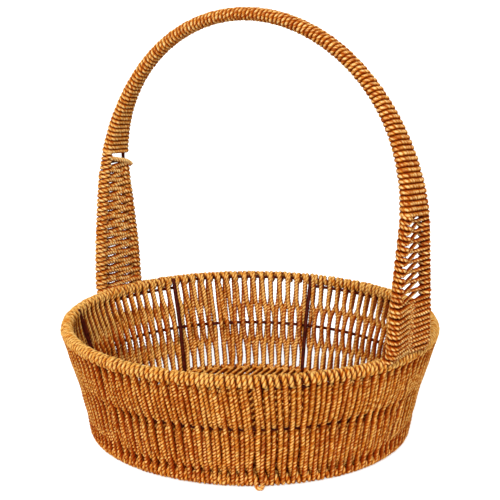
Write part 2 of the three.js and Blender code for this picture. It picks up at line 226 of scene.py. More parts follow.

# %% [markdown]
# Each piece rides on the basket's one body, hides the solids it stands for and wears its finish. Real
# cord is never even, so its twist and its thickness waver: each pair below is a size and a length in
# millimetres. Three values ride on the cord for its finish: how much painted shade a point gets, the tone
# of this length of cord, which on the wall also carries painted light and shade, and a place on the
# unrolled ply, along which fibres run. The painted shade lies in the groove between two plies and in the
# crease between this turn and the one beside it, where the cords shade each other.

# %% Make a length of cord into a piece
TWIST_WAVES = ((1.2, 23.0), (0.4, 7.3))
THICKNESS_WAVES = ((0.045, 9.0), (0.035, 3.1))
CREASE_START, CREASE_WIDTH = 0.45, 0.45
PRESSED_GROOVE = 0.75
FIBRE_SHIFT = 1000.0


def add_piece(name, mesh, material, slot, nodes):
    piece = bpy.data.objects.new(name, mesh)
    mesh.materials.clear()
    mesh.materials.append(material)
    bpy.context.scene.collection.objects.link(piece)
    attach(piece, "root")
    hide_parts(*nodes)
    return piece


# Painted shade: a point gets it in a ply groove, and where it faces a neighbouring turn.
def painted_shade_mask(mesh, paths, beside, groove):
    spots = np.empty(3 * len(mesh.vertices))
    mesh.vertices.foreach_get("co", spots)
    centres = np.concatenate(paths)
    sideways = np.concatenate([np.broadcast_to(side, path.shape) for side, path in zip(beside, paths)])
    reach = spots.reshape(len(centres), -1, 3) / MM - centres[:, None, :]
    reach /= np.linalg.norm(reach, axis=2)[:, :, None]
    facing = np.abs((reach * sideways[:, None, :]).sum(axis=2))
    near = rising(facing, CREASE_START, CREASE_WIDTH)
    return np.maximum(groove * ply_groove_shade[None, :], near ** 2 * (3 - 2 * near)).ravel()


def waver(run, start, waves):
    (slow, slow_length), (quick, quick_length) = waves
    return slow * np.sin(run / slow_length + start) + quick * np.sin(run / quick_length + 2 * start)


def cord_piece(name, paths, material, slot, nodes, beside, width=1.0, tones=None, tight=False):
    twists, swells, along, tone = [], [], [], []
    for number, path in enumerate(paths):
        run = run_along(path)
        start = luck.uniform(0.0, 2 * math.pi)
        twists.append(start + 2 * math.pi * run / LAY + waver(run, start, TWIST_WAVES))
        uneven = 1.0 + waver(run, start, THICKNESS_WAVES)
        swells.append(uneven * (width[number] if isinstance(width, list) else width))
        along.append(run + FIBRE_SHIFT * luck.uniform())
        tone.append(np.asarray(tones[number]) if tones is not None else np.full(len(path), luck.normal()))
    mesh = sweep(name, paths, flat_outline if tight else cord_outline, swells, twists)
    close_and_smooth(mesh)
    round_count = len(ply_turns)
    rings = sum(len(path) for path in paths)
    assert len(mesh.vertices) == rings * round_count, (len(mesh.vertices), rings)
    fibre = np.zeros((rings, round_count, 3))
    fibre[:, :, 0] = CORD * np.cos(ply_turns)
    fibre[:, :, 1] = CORD * np.sin(ply_turns)
    fibre[:, :, 2] = np.concatenate(along)[:, None]
    painted_shade = painted_shade_mask(mesh, paths, beside, PRESSED_GROOVE if tight else 1.0)
    mesh.attributes.new("painted_shade", "FLOAT", "POINT").data.foreach_set("value", painted_shade)
    tone_values = np.repeat(np.concatenate(tone), round_count)
    mesh.attributes.new("tone", "FLOAT", "POINT").data.foreach_set("value", tone_values)
    mesh.attributes.new("fibre", "FLOAT_VECTOR", "POINT").data.foreach_set("vector", fibre.ravel())
    length = sum(run_along(path)[-1] for path in paths)
    print(f"{name}: {length / 1000:.2f} m of cord, {2 * len(mesh.polygons)} triangles")
    return add_piece(name, mesh, material, slot, nodes)


print("tools made:", add_piece.__name__, cord_piece.__name__)

# %% [markdown]
# Finish of the cord. The yarn is dyed a golden orange-brown, with fine fibres along each ply. Over the dye
# go a painted highlight, which makes the crest of each ply a paler yellow gold, and painted shade, which
# makes the grooves and creases a deep red-brown. Wall and handle use the same yarn, so the colour is worked
# out once, in a node group, and each material sets its own warmth, painted shade and crest highlights.

# %% Node group for dyed twisted yarn, with painted highlights and painted shade
def link_up(tree, *pairs):
    for out_socket, in_socket in pairs:
        tree.links.new(out_socket, in_socket)


def ramp_stops(ramp, stops):
    for stop, (where, colour) in zip(ramp.elements, stops):
        stop.position, stop.color = where, colour
    for where, colour in stops[2:]:
        ramp.elements.new(where).color = colour


yarn = bpy.data.node_groups.new("yarn_dye_and_painted_light", "ShaderNodeTree")
for label, value in (("Painted Shade Strength", 1.0), ("Warmth", 0.5), ("Crest", 0.5)):
    yarn.interface.new_socket(label, in_out="INPUT", socket_type="NodeSocketFloat").default_value = value
yarn.interface.new_socket("Highlight Colour", in_out="INPUT", socket_type="NodeSocketColor")
yarn.interface.new_socket("Colour", in_out="OUTPUT", socket_type="NodeSocketColor")
for label in ("Roughness", "Height"):
    yarn.interface.new_socket(label, in_out="OUTPUT", socket_type="NodeSocketFloat")
add = yarn.nodes.new
group_in, group_out = add("NodeGroupInput"), add("NodeGroupOutput")
painted_shade_in, tone_in, fibre_in = (add("ShaderNodeAttribute") for _ in range(3))
painted_shade_in.attribute_name, tone_in.attribute_name, fibre_in.attribute_name = "painted_shade", "tone", "fibre"


def sum_of(first, factor, last):
    node = add("ShaderNodeMath")
    node.operation = "MULTIPLY_ADD"
    node.inputs[1].default_value = factor
    yarn.links.new(first, node.inputs[0])
    if isinstance(last, float):
        node.inputs[2].default_value = last
    else:
        yarn.links.new(last, node.inputs[2])
    return node.outputs[0]


def ranged(value, low, high, to_low, to_high):
    node = add("ShaderNodeMapRange")
    node.interpolation_type = "SMOOTHSTEP"
    for label, number in (("From Min", low), ("From Max", high), ("To Min", to_low), ("To Max", to_high)):
        node.inputs[label].default_value = number
    yarn.links.new(value, node.inputs["Value"])
    return node.outputs["Result"]


print("yarn group takes:", [socket.name for socket in group_in.outputs if socket.name])

# %% [markdown]
# Fibres are a fine noise, stretched along the ply. A broader noise makes patches, because the dye takes
# unevenly. Both are added to the tone of this length of cord, and the sum picks a colour between a dark
# red-brown and a light gold.

# %% Fibres and tone of a ply
stretch = add("ShaderNodeMapping")
stretch.inputs["Scale"].default_value = (2.6, 2.6, 0.35)
fibres = add("ShaderNodeTexNoise")
fibres.inputs["Scale"].default_value = 1.0
fibres.inputs["Detail"].default_value = 3.0
patches = add("ShaderNodeTexNoise")
patches.inputs["Scale"].default_value = 0.42
patches.inputs["Detail"].default_value = 1.0
link_up(
    yarn,
    (fibre_in.outputs["Vector"], stretch.inputs["Vector"]),
    (stretch.outputs["Vector"], fibres.inputs["Vector"]),
    (fibre_in.outputs["Vector"], patches.inputs["Vector"]),
)
warmth = sum_of(group_in.outputs["Warmth"], 0.60, -0.93)
length_tone = sum_of(tone_in.outputs["Fac"], 0.055, warmth)
patch_tone = sum_of(patches.outputs["Fac"], 1.25, length_tone)
ply_tone = sum_of(fibres.outputs["Fac"], 1.0, patch_tone)
body = add("ShaderNodeValToRGB")
ramp_stops(body.color_ramp, [
    (0.28, (0.34, 0.062, 0.0020, 1)), (0.80, (0.80, 0.44, 0.100, 1)),
    (0.45, (0.57, 0.158, 0.0050, 1)), (0.60, (0.70, 0.265, 0.020, 1))])
link_up(yarn, (ply_tone, body.inputs["Fac"]))
print("yarn colours on the ramp:", len(body.color_ramp.elements))

# %% [markdown]
# The crest of a ply gets a painted highlight, mixed towards a paler colour, more in some patches than in
# others. Grooves and creases get painted shade, mixed towards a deep red-brown. Fibres also stand up a
# little from the surface.

# %% Painted highlights on the crests and painted shade in the grooves and creases
# Painted highlight on the crests and painted shade in the grooves and creases are mixed in here.
highlight_mix = add("ShaderNodeMix")
highlight_mix.data_type = "RGBA"
painted_highlight, patchy, painted_shade_factor = (add("ShaderNodeMath") for _ in range(3))
painted_highlight.operation = patchy.operation = painted_shade_factor.operation = "MULTIPLY"
shade = add("ShaderNodeMix")
shade.data_type = "RGBA"
# Painted shade colour for the grooves and creases: a deep red-brown.
shade.inputs["B"].default_value = (0.23, 0.019, 0.0002, 1)
link_up(
    yarn,
    (body.outputs["Color"], highlight_mix.inputs["A"]),
    (group_in.outputs["Highlight Colour"], highlight_mix.inputs["B"]),
    (ranged(painted_shade_in.outputs["Fac"], 0.0, 0.35, 1.0, 0.0), painted_highlight.inputs[0]),
    (group_in.outputs["Crest"], painted_highlight.inputs[1]),
    (painted_highlight.outputs[0], patchy.inputs[0]),
    (ranged(patches.outputs["Fac"], 0.36, 0.64, 0.25, 1.7), patchy.inputs[1]),
    (patchy.outputs[0], highlight_mix.inputs["Factor"]),
    (ranged(painted_shade_in.outputs["Fac"], 0.15, 0.85, 0.0, 1.0), painted_shade_factor.inputs[0]),
    (group_in.outputs["Painted Shade Strength"], painted_shade_factor.inputs[1]),
    (highlight_mix.outputs["Result"], shade.inputs["A"]),
    (painted_shade_factor.outputs[0], shade.inputs["Factor"]),
    (shade.outputs["Result"], group_out.inputs["Colour"]),
    (ranged(ply_tone, 0.0, 1.0, 0.70, 0.48), group_out.inputs["Roughness"]),
    (sum_of(painted_shade_in.outputs["Fac"], -1.0, fibres.outputs["Fac"]), group_out.inputs["Height"]),
)
print("yarn group has", len(yarn.nodes), "nodes")

# %% [markdown]
# Two finishes use the group. Yarn hardly shines, so its gloss is low. The painted highlights on the crests
# of the handle's cord are paler and stronger than those of the wall's, as in the picture.

# %% Wall cord and handle cord
def yarn_material(name, shade_strength, warmth, highlight_strength, highlight_colour, bump_mm=0.3):
    material = bpy.data.materials.new(name)
    material.use_nodes = True
    tree = material.node_tree
    shader = tree.nodes["Principled BSDF"]
    shader.inputs["Specular IOR Level"].default_value = 0.04
    dye = tree.nodes.new("ShaderNodeGroup")
    dye.node_tree = yarn
    dye.inputs["Painted Shade Strength"].default_value = shade_strength
    dye.inputs["Warmth"].default_value = warmth
    dye.inputs["Crest"].default_value = highlight_strength
    dye.inputs["Highlight Colour"].default_value = highlight_colour
    bump = tree.nodes.new("ShaderNodeBump")
    bump.inputs["Distance"].default_value = bump_mm * MM
    bump.inputs["Strength"].default_value = 0.8
    link_up(
        tree,
        (dye.outputs["Colour"], shader.inputs["Base Color"]),
        (dye.outputs["Roughness"], shader.inputs["Roughness"]),
        (dye.outputs["Height"], bump.inputs["Height"]),
        (bump.outputs["Normal"], shader.inputs["Normal"]),
    )
    return material


wall_yarn = yarn_material(
    "wall_yarn", shade_strength=0.92, warmth=0.51, highlight_strength=0.51, highlight_colour=(0.92, 0.56, 0.195, 1))
handle_yarn = yarn_material(
    "handle_yarn", shade_strength=0.95, warmth=0.57, highlight_strength=0.92, highlight_colour=(0.90, 0.61, 0.25, 1))
print("cord materials:", wall_yarn.name, handle_yarn.name)

# %% [markdown]
# Finish of the wire. It is steel rod with a dark brown paint, satin, a little rubbed where cord lies on
# it. One fine noise stands for the scuffs: it lets a redder coat show, changes the gloss and roughens the
# paint a little, so that the bare ribs don't look black.

# %% Painted wire
wire_paint = bpy.data.materials.new("wire_paint")
wire_paint.use_nodes = True
paint_tree = wire_paint.node_tree
paint_shader = paint_tree.nodes["Principled BSDF"]
place_in = paint_tree.nodes.new("ShaderNodeTexCoord")
scuffs = paint_tree.nodes.new("ShaderNodeTexNoise")
scuffs.inputs["Scale"].default_value = 420.0
scuffs.inputs["Detail"].default_value = 4.0
paint_ramp = paint_tree.nodes.new("ShaderNodeValToRGB")
ramp_stops(paint_ramp.color_ramp, [(0.35, (0.030, 0.0022, 0.0008, 1)), (0.75, (0.115, 0.011, 0.003, 1))])
gloss = paint_tree.nodes.new("ShaderNodeMapRange")
gloss.inputs["To Min"].default_value = 0.45
gloss.inputs["To Max"].default_value = 0.65
paint_shader.inputs["Specular IOR Level"].default_value = 0.08
paint_bump = paint_tree.nodes.new("ShaderNodeBump")
paint_bump.inputs["Distance"].default_value = 0.05 * MM
link_up(
    paint_tree,
    (place_in.outputs["Object"], scuffs.inputs["Vector"]),
    (scuffs.outputs["Fac"], paint_ramp.inputs["Fac"]),
    (scuffs.outputs["Fac"], gloss.inputs["Value"]),
    (scuffs.outputs["Fac"], paint_bump.inputs["Height"]),
    (paint_ramp.outputs["Color"], paint_shader.inputs["Base Color"]),
    (gloss.outputs["Result"], paint_shader.inputs["Roughness"]),
    (paint_bump.outputs["Normal"], paint_shader.inputs["Normal"]),
)
print("wire finish:", wire_paint.name)

# %% [markdown]
# The wall. Two cords share a bay. Each goes up in one column, turns one and a half times round the rim
# wire, goes down in the next column, turns as often round the bottom ring and goes up again in the column
# after that. So a column holds an up strand of one cord and a down strand of the other. RISE points up
# along the wall at each ring and OUTWARD away from it. TURN is the radius of the turns round each ring
# wire, and LIFT shifts them up along the wall, which brings the lowest turns just clear of the floor.

# %% Where a strand is on the wall
def wall_line():
    lower, upper = np.diff(RING_PLACES, axis=0)
    rises = np.array([lower, lower / np.linalg.norm(lower) + upper / np.linalg.norm(upper), upper])
    rises = rises / np.linalg.norm(rises, axis=1)[:, None]
    return rises, np.stack([rises[:, 1], -rises[:, 0]], axis=1)


RISE, OUTWARD = wall_line()
TURN = np.array([2.80, 2.95, 2.95])
LIFT = np.array([0.56, 0.0, 0.50])


def polar(radius, angle, height):
    return np.array([radius * math.cos(angle), radius * math.sin(angle), height])


def on_wall(place, spot):
    return polar(spot[0], RIB_PHASE + (place + 0.5) * LOOP_ANGLE, spot[1])


print("turns round the rim wire have a radius of", TURN[RIM], "mm")

# %% [markdown]
# The frame itself is bent wire: three rings, seven ribs inside them, two stays under the rim and three
# bars across the floor. A wire is drawn best as a round outline swept along its line, with the same tools
# as the cord, so that the long bends are smooth. The stays are given by their end angles and their point
# count.

# %% Bend the wires of the basket
RING_POINTS = 160
RIB_INSET, RIB_FOOT, RIB_ABOVE_RIM = 3.15, 6.4, 2.6
STAY_RADIUS, STAY_HEIGHT = 134.43, 76.0
STAY_ENDS = {"right_stay": (-46.5, 107.8, 90), "left_stay": (159.2, 262.0, 60)}
BAR_PLACES = (-45.0, 0.0, 45.0)
BAR_REACH = 114.72


def rod(name, path, radius, ring=False):
    path = np.asarray(path, float)
    mesh = sweep(name + "_rod", [path], wire_outline, [np.full(len(path), radius)], ring=ring)
    close_and_smooth(mesh)
    return add_piece(name + "_rod", mesh, wire_paint, "frame_wire", [name])


def arc(radius, height, first, last, count):
    return [polar(radius, turn, height) for turn in np.linspace(first, last, count)]


for name, (radius, height) in zip(("bottom_ring", "middle_ring", "top_ring"), RING_PLACES):
    rod(name, arc(radius, height, 0.0, 2 * math.pi, RING_POINTS + 1)[:-1], RING_WIRE, ring=True)
rib_line = RING_PLACES - RIB_INSET * OUTWARD
rib_rise = rib_line[MIDDLE] - rib_line[BOTTOM]
rib_foot = rib_line[BOTTOM] + rib_rise * (RIB_FOOT - rib_line[BOTTOM, 1]) / rib_rise[1]
rib_top = rib_line[RIM] + RIB_ABOVE_RIM * RISE[RIM]
rib_spots = eased([(r, 0.0, z) for r, z in (rib_foot, rib_line[MIDDLE], rib_top)], 2.0, 3)
for rib in range(RIB_COUNT):
    turn = RIB_PHASE + 2 * math.pi * rib / RIB_COUNT
    rod(f"rib_{rib + 1}", [polar(r, turn, z) for r, _, z in rib_spots], RIB_WIRE)
for name, (first, last, count) in STAY_ENDS.items():
    rod(name, arc(STAY_RADIUS, STAY_HEIGHT, math.radians(first), math.radians(last), count), RING_WIRE)
for bar, across in enumerate(BAR_PLACES):
    half = math.sqrt(BAR_REACH ** 2 - (abs(across) + RING_WIRE) ** 2)
    height = RING_PLACES[BOTTOM, 1]
    rod(f"floor_bar_{bar + 1}", [(x, across, height) for x in np.linspace(-half, half, 9)], RING_WIRE)
print("ribs reach from", round(rib_spots[0, 2], 1), "to", round(rib_spots[-1, 2], 1), "mm")

# %% [markdown]
# In a column the down strand lies outside at the rim and the up strand behind it. At the middle ring they
# have changed sides and stand apart, so the two hold the ring between them. At the bottom they meet
# again. At the back they part late, which leaves pointed openings between the columns. At the front they
# part at once and lie side by side, so that the wall is closed.
#
# Each table gives a value from the rim (level 0) over the middle ring (level 1) to the bottom ring (level
# 2), and is relaxed, as a cord doesn't bend sharply. In a DEPTH table 1 lies outside the ring wires and
# -1 inside them. DOWN and UP tables give a place across the column, in loops. In the open wall the up
# strand mirrors the down strand. LEFT_DOWN is for the left of the back wall, where they part twice, above
# and below the ring. RIB_GAP is how far a strand beside a rib may leave its column's middle, and
# SEAM_PULL how far the columns at the front seam are drawn aside. AT_RING marks the levels near the ring,
# and NEAR_TOP those below the rim.

# %% How the strands of a column lie
LEVELS = np.linspace(0.0, 2.0, 61)


def table(*stops):
    levels, values = zip(*stops)
    return relaxed(np.interp(LEVELS, levels, values), 3)


OPEN_DOWN = table(
    (0, 0.03), (0.5, 0.14), (0.57, 0.17), (0.65, 0.27), (0.85, 0.355), (1, 0.375),
    (1.12, 0.39), (1.3, 0.29), (1.44, 0.17), (1.6, 0.09), (2, 0.0))
OPEN_DEPTH = table(
    (0, 1.0), (0.1, 0.6), (0.55, 0.42), (0.65, 0.1), (0.9, -0.55), (1, -1.0),
    (1.1, -0.6), (1.3, -0.3), (1.45, 0.2), (1.9, 0.6), (2, 1.0))
LEFT_DOWN = table(
    (0, 0), (0.4, 0.05), (0.53, 0.25), (0.66, 0.25), (0.82, 0.04),
    (1.2, 0.04), (1.36, 0.25), (1.48, 0.25), (1.65, 0.05), (2, 0))
CLOSED_DOWN = table((0, 0.24), (0.25, 0.245), (0.9, 0.26), (1, 0.38), (1.1, 0.26), (1.75, 0.25), (2, 0.25))
CLOSED_UP = table(
    (0, 0.20), (0.06, 0.1), (0.15, -0.22), (0.8, -0.26),
    (1.2, -0.27), (1.70, -0.25), (1.83, 0.05), (2, 0.20))
CLOSED_DEPTH_DOWN = table(
    (0, 1.0), (0.25, 0.95), (0.55, 1.1), (0.75, 1.0), (0.91, 0.7), (1, -1.6),
    (1.09, 0.4), (1.25, 0.55), (1.6, 0.65), (1.8, 0.9), (2, 1.0))
CLOSED_DEPTH_UP = table(
    (0, -1.0), (0.15, 0.0), (0.3, 0.7), (0.55, 1.1), (0.8, 1.05), (1, 1.0),
    (1.2, 0.95), (1.5, 0.9), (1.7, 0.6), (1.83, -0.2), (2, -1.0))
RIB_GAP = table(
    (0, 0.25), (0.1, 0.12), (0.9, 0.10), (1, 0.12), (1.12, 0.22),
    (1.4, 0.22), (1.55, 0.08), (1.8, 0.08), (2, 0.25))
SEAM_PULL = table((0, 1.15), (0.15, 1.05), (1, 0.5), (1.3, 0.45), (2, 0.6))
AT_RING = rising(-np.abs(LEVELS - 1.0), -0.55, 0.25)
NEAR_TOP = table((0, 0), (0.12, 0.6), (0.25, 1), (0.5, 1), (0.65, 0), (2, 0))
print("levels in a strand:", len(LEVELS))

# %% [markdown]
# Hand work is never even. The wall is open round BACK and closed at the front. One narrow stretch at the
# back is drawn nearly shut, and beside SLOT_COLUMN a wider slot shows. All strands lean a little, less to
# the right of the front seam. Each strand also gets a small shift at five levels, and each loop a tone of
# its own.
#
# The picture doesn't show how deep the strands of the back wall lie, only where its openings are seen. So
# their sideways places are set for that. Angles from BACK grow towards the left. Skew moves a strand
# sideways in step with its depth. Away from the middle of the back, round_side changes how far the two
# strands of a column part. The left and right of the back wall are marked by left_back and right_back, and
# tight_top marks one place where the strands part more just below the rim.

# %% Uneven hand work
BACK = math.radians(130.4)
LEAN, LEAN_LEFT, LEAN_RIGHT = 0.22, 1.15, 0.15
LEFT_END, LEFT_FADE = 1.25, 0.3
SLOT_COLUMN = 42
SEAM_COLUMN = 6 * BAY_LOOPS
SEAM_LEFT, SEAM_RIGHT = 5.0, 4.0
RIGHT_COLUMNS = 8
SHIFT_LEVELS = (0, 0.5, 1, 1.5, 2)
DRIFT_SIZES = (0.02, 0.02, 0.04, 0.02, 0.02)


def drift(size):
    waves = np.arange(4, 15)
    turns = luck.uniform(0, 2 * math.pi, len(waves))
    loops = np.arange(LOOPS)[:, None]
    wave = np.sin(2 * math.pi * waves * loops / LOOPS + turns).sum(axis=1)
    return size * wave / wave.std()


def hump(values, middle, width):
    return np.exp(-((values - middle) / width) ** 2)


column_turn = RIB_PHASE + (np.arange(LOOPS) + 0.5) * LOOP_ANGLE
openness = rising(np.cos(column_turn - BACK), -0.05, 0.35)
openness *= 1.0 - 0.75 * hump(column_turn - BACK, 0.11, 0.06)
from_back = (column_turn - BACK + math.pi) % (2 * math.pi) - math.pi
before_left_end = rising(-from_back, -LEFT_END, LEFT_FADE)
skew = 0.40 * np.tan(np.clip(0.87 * from_back, -1.0, 1.0)) * (np.abs(from_back) < 1.5)
skew *= before_left_end
round_side = rising(np.abs(from_back), 0.0, 0.5)
left_back = rising(from_back, 0.36, 0.12) * before_left_end
right_back = rising(-from_back, 0.3, 0.2) * openness
tight_top = hump(from_back, 0.25, 0.13)
past_seam = np.arange(LOOPS) - SEAM_COLUMN + 0.5
seam = hump(past_seam, 0.0, np.where(past_seam < 0, SEAM_LEFT, SEAM_RIGHT))
right_of_seam = (past_seam > 0) | (past_seam < RIGHT_COLUMNS - SEAM_COLUMN)
lean = -LEAN * np.cos(column_turn - BACK) * np.where(right_of_seam, LEAN_RIGHT, LEAN_LEFT) * (1 - seam)
shift = luck.normal(0.0, 0.04, (LOOPS, 2, len(SHIFT_LEVELS)))
for way in range(2):
    for level, size in enumerate(DRIFT_SIZES):
        shift[:, way, level] += drift(size)
swell = luck.normal(1.0, 0.035, LOOPS)
loop_tone = luck.normal(0.0, 1.0, LOOPS)
print("widest shift at the middle ring:", round(np.abs(shift[:, :, 2]).max(), 2), "of a loop")

# %% [markdown]
# One loop is an up strand, the turns on the rim, a down strand and the turns on the bottom ring. Stops
# say how far the cord has gone along the ring after each quarter turn. Beside a rib both strands stay
# outside the middle ring, one on each side of the rib, so that from outside the rib is only a thin dark
# line. Strands of the open wall are a little thicker. Their tones carry painted light and shade: the turns
# on the rim are painted much paler, as if lit from above, up strands paler and down strands darker, most of
# all in the open wall, as in the picture. The five values of a row belong to the up strand, the turns on
# the rim, the upper and the lower half of the down strand, and the turns on the bottom ring.

# %% One loop of cord
TURN_STEPS, STOP_STEPS = 24, 4
STRAND_WIDTH, RIM_WIDTH, BASE_WIDTH = 1.0, 1.0, 0.97
OPEN_WIDER, RIGHT_THINNER = 0.07, 0.11
LATE_STOP = 0.87
RIGHT_STOPS = np.array((0.0, 0.2, 0.38, 0.45, 0.52, 0.76, 1.0))
BASE_STOPS = (0.0, 0.12, 0.25, 0.38, 0.5, 0.75, 1.0)
RING_PART, SIDE_PART, TIGHT_PART = 0.83, 0.5, 0.15


def ring_turns(ring, start, end, begin, stops, size=1.0):
    points = []
    for step in range(TURN_STEPS + 1):
        turn = begin - step / TURN_STEPS * 3 * math.pi
        place = start + (end - start) * np.interp(step / STOP_STEPS, range(len(stops)), stops)
        around = size * TURN[ring] * (math.cos(turn) * OUTWARD[ring] + math.sin(turn) * RISE[ring])
        spot = RING_PLACES[ring] + LIFT[ring] * RISE[ring] + around
        points.append(on_wall(place, spot))
    return points


def strand(column, down):
    here = column % LOOPS
    way = 1 if down else -1
    open_share = openness[here]
    closed_across, closed_depth = (CLOSED_DOWN, CLOSED_DEPTH_DOWN) if down else (CLOSED_UP, CLOSED_DEPTH_UP)
    across = way * OPEN_DOWN * (1 + round_side[here] * (RING_PART * AT_RING - SIDE_PART))
    across += left_back[here] * (way * LEFT_DOWN - across)
    across = across + way * TIGHT_PART * tight_top[here] * NEAR_TOP
    across = open_share * across + (1 - open_share) * closed_across
    depth = open_share * (way * OPEN_DEPTH) + (1 - open_share) * closed_depth
    by_rib = here % BAY_LOOPS == (BAY_LOOPS - 1 if down else 0)
    if by_rib:
        across = np.clip(across, -RIB_GAP, RIB_GAP)
        depth = np.where(np.abs(LEVELS - 1.0) < 0.35, np.abs(depth) + 0.3, depth)
    if here == (SLOT_COLUMN if down else SLOT_COLUMN + 1):
        across = 0.3 * across
    uneven = np.interp(LEVELS, SHIFT_LEVELS, shift[here, int(down)])
    turned = np.clip(depth, -0.5, 0.5) * (1 - AT_RING) * (from_back[here] > 0) + depth * AT_RING
    places = column + across - open_share * skew[here] * turned + lean[here] * (LEVELS - 1.0) + uneven
    places = places - seam[here] * SEAM_PULL
    points = []
    for level, place, side in zip(LEVELS, places, depth):
        section = min(int(level), 1)
        share = level - section
        upper, lower = RIM - section, MIDDLE - section
        line = (1 - share) * RING_PLACES[upper] + share * RING_PLACES[lower]
        out = (1 - share) * OUTWARD[upper] + share * OUTWARD[lower]
        reach = (1 - share) * TURN[upper] + share * TURN[lower]
        points.append(on_wall(place, line + side * reach * out))
    return points, places[0], places[-1]


def loop_path(loop):
    rise, rim_in, _ = strand(loop, False)
    fall, rim_out, base_out = strand(loop + 1, True)
    _, _, base_in = strand(loop + 2, False)
    behind = openness[loop]
    outer = 0.5 + 0.25 * behind
    stops = np.array((0.0, 0.42, outer, (outer + LATE_STOP) / 2, LATE_STOP, 0.88, 1.0))
    stops += right_back[loop] * (RIGHT_STOPS - stops)
    half = len(LEVELS) // 2 + 1
    parts = [
        rise[::-1],
        ring_turns(RIM, rim_in, rim_out, math.pi, stops, swell[loop]),
        fall[:half],
        fall[half:],
        ring_turns(BOTTOM, base_out, base_in, 0.0, BASE_STOPS),
    ]
    width = STRAND_WIDTH + OPEN_WIDER * behind - RIGHT_THINNER * right_back[loop]
    # touch sets how much painted crease shade a strand gets, less in the open wall.
    touch = 1.0 - 0.1 * behind
    widths = (width, RIM_WIDTH, width, width, BASE_WIDTH)
    # Painted light and shade in these tones: rim turns paler, up strands paler, down strands darker.
    tones = loop_tone[loop] + np.array([1.0 + 3.2 * behind, 5.0, -2.2 * behind, -2.0 - 0.3 * behind, 0.0])
    touches = (touch, 0.95, touch, touch, 1.0)
    rows = []
    for row in (widths, tones, touches):
        rows.append([value for value, part in zip(row, parts) for _ in part])
    return sum(parts, []), rows


print("loops to wind:", LOOPS)

# %% [markdown]
# The loops of a bay are joined into its two cords, which take every second loop each. A cord's neighbours
# lie beside it along the wall, which is where the creases with painted shade are; open strands get less of
# it.

# %% Wind the seven bays
STEP = 0.75


def along_wall(path):
    reach = np.hypot(path[:, 0], path[:, 1])
    return np.stack([-path[:, 1], path[:, 0], 0 * path[:, 2]], axis=1) / reach[:, None]


for bay in range(RIB_COUNT):
    paths, tones, widths, beside = [], [], [], []
    for cord in range(2):
        points, marks, sizes, touches = [], [], [], []
        for loop in range(bay * BAY_LOOPS + cord, (bay + 1) * BAY_LOOPS, 2):
            turn, (size, tone, touch) = loop_path(loop)
            points += turn
            sizes += size
            marks += tone
            touches += touch
        path = eased(points, STEP, 2)
        paths.append(path)
        tones.append(carried(points, marks, len(path)))
        widths.append(carried(points, sizes, len(path)))
        beside.append(along_wall(path) * carried(points, touches, len(path))[:, None])
    name = f"wall_cord_{bay + 1}"
    cord_piece(name, paths, wall_yarn, "wall_cord", [f"wall_panel_{bay + 1}"], beside, widths, tones)

# %% [markdown]
# The floor is one cord laid to and fro over the floor wires, and a second one under them, at right angles
# to the first. Small square openings stay between their runs. Each run ends against the turns on the
# bottom ring and comes straight back. A layer has a height, a heading in degrees and the step between its
# points.

# %% Lay the two floor cords
FLOOR_REACH, FLOOR_EDGE, FLOOR_TURN = 112.6, 1.5, 1.2
FLOOR_SPACING = 5.5
FLOOR_WIDTH = 0.80
RUN_POINTS = 9
SWAY = 0.25
LAYERS = (("upper", 7.6, 108.0, 1.0), ("lower", 1.84, 18.0, 1.6))


def floor_path(height, heading, step):
    ahead = np.array([math.cos(heading), math.sin(heading), 0.0])
    aside = np.array([math.sin(heading), -math.cos(heading), 0.0])
    runs = int(2 * (FLOOR_REACH - FLOOR_EDGE) / FLOOR_SPACING)
    points = []
    for run in range(runs + 1):
        across = (run - runs / 2) * FLOOR_SPACING
        half = math.sqrt(FLOOR_REACH ** 2 - across ** 2) - FLOOR_TURN
        way = 1 if run % 2 else -1
        wander = luck.normal(0.0, SWAY, RUN_POINTS)
        for spot in range(RUN_POINTS):
            sway = wander[spot] if 0 < spot < RUN_POINTS - 1 else 0.0
            onward = way * half * (spot / (RUN_POINTS // 2) - 1)
            points.append((across + sway) * aside + onward * ahead + [0.0, 0.0, height])
    return eased(points, step, 2), aside


for layer, height, heading, step in LAYERS:
    path, aside = floor_path(height, math.radians(heading), step)
    name = f"floor_{layer}_cord"
    cord_piece(name, [path], wall_yarn, "wall_cord", [f"floor_{layer}_mat"], [aside], FLOOR_WIDTH)

# %% [markdown]
# The handle is two wires that stand apart at the rim and close up towards the grip. Their line is two
# straight legs under half an ellipse, as in the solid model. Low down each leg bends in towards the rim,
# more on the right than on the left, as the picture shows. The solid model leaves that bend out.

# %% Line of the handle
LEG_FOOT, LEG_TOP = (140.93, 79.5), (143.33, 174.0)
BEND_TOP, BEND_RUN, BEND_RIGHT, BEND_LEFT = 91.0, 9.0, 4.6, 1.2
ARCH_RISE = 135.0
SPREAD, CLOSED, TAPER = 19.3, 1.55, 200.0
TIE_HEIGHT = 188.0


def leg_reach(height, side=1):
    if height <= LEG_TOP[1]:
        share = (height - LEG_FOOT[1]) / (LEG_TOP[1] - LEG_FOOT[1])
        inward = rising(-height, -BEND_TOP, BEND_RUN)
        bend = BEND_RIGHT if side > 0 else BEND_LEFT
        return LEG_FOOT[0] + share * (LEG_TOP[0] - LEG_FOOT[0]) - bend * inward ** 2 * (3 - 2 * inward)
    return LEG_TOP[0] * math.sqrt(max(0.0, 1 - ((height - LEG_TOP[1]) / ARCH_RISE) ** 2))


def half_spread(height):
    share = rising(height, RING_PLACES[RIM, 1], TAPER)
    return CLOSED + (SPREAD - CLOSED) * math.cos(math.pi / 2 * share) ** 2


print("wires at the tie stand", round(2 * half_spread(TIE_HEIGHT), 1), "mm apart")

# %% [markdown]
# Each handle wire is one rod, bent from foot to foot. Its foot turns in under the rim and meets the stay.
# A short spreader holds the two wires apart where the lacing ends.

